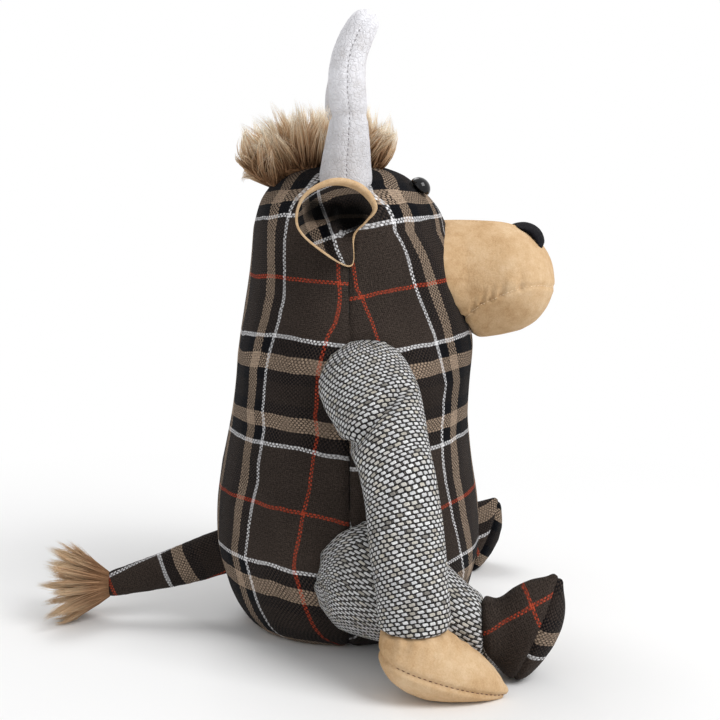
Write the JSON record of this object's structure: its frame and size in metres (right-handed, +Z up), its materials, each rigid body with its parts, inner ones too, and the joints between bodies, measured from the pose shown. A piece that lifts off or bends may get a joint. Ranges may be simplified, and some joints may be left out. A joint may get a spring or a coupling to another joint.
{
  "type": "door stop",
  "caption": "Weighted fabric door stop: a sitting stuffed cow in plaid and tweed, with suede muzzle, horns, ears and hooves, and a fur fringe and tail tuft.",
  "frame": {"origin": "middle of the flat round base, on the floor", "axes": "+Z up, the animal faces -Y and its left side is +X"},
  "size_m": [0.2736, 0.2779, 0.3202],
  "materials": {
    "plaid_cloth": "brown plaid wool with black, beige, white and red-brown lines",
    "tweed_cloth": "black and cream basket weave",
    "tan_suede": "matt suede",
    "grey_suede": "matt suede",
    "black_felt": "matt felt",
    "brown_fur": "long pile with pale tips",
    "fibre_filling": "white fibre",
    "bagged_sand": "dry sand in a plain canvas bag",
    "black_eye_plastic": "polished",
    "washer_plastic": "moulded"
  },
  "bodies": {
    "root": {"body_front_panel": "plaid_cloth", "body_back_panel": "plaid_cloth", "base_panel": "plaid_cloth", "body_filling": "fibre_filling", "sand_bag": "bagged_sand", "muzzle_upper_panel": "tan_suede", "muzzle_chin_panel": "tan_suede", "muzzle_filling": "fibre_filling", "nose_patch": "black_felt", "fringe": "brown_fur", "eye_left": "black_eye_plastic", "eye_right": "black_eye_plastic", "eye_washer_left": "washer_plastic", "eye_washer_right": "washer_plastic", "horn_left": "grey_suede", "horn_right": "grey_suede", "ear_outer_left": "tan_suede", "ear_outer_right": "tan_suede", "ear_lining_left": "plaid_cloth", "ear_lining_right": "plaid_cloth", "arm_left": "tweed_cloth", "arm_right": "tweed_cloth", "hand_upper_left": "tan_suede", "hand_upper_right": "tan_suede", "hand_sole_left": "tan_suede", "hand_sole_right": "tan_suede", "leg_left": "tweed_cloth", "leg_right": "tweed_cloth", "foot_upper_left": "plaid_cloth", "foot_upper_right": "plaid_cloth", "foot_sole_left": "plaid_cloth", "foot_sole_right": "plaid_cloth", "tail": "plaid_cloth", "tail_tuft": "brown_fur"}
  },
  "joints": []
}
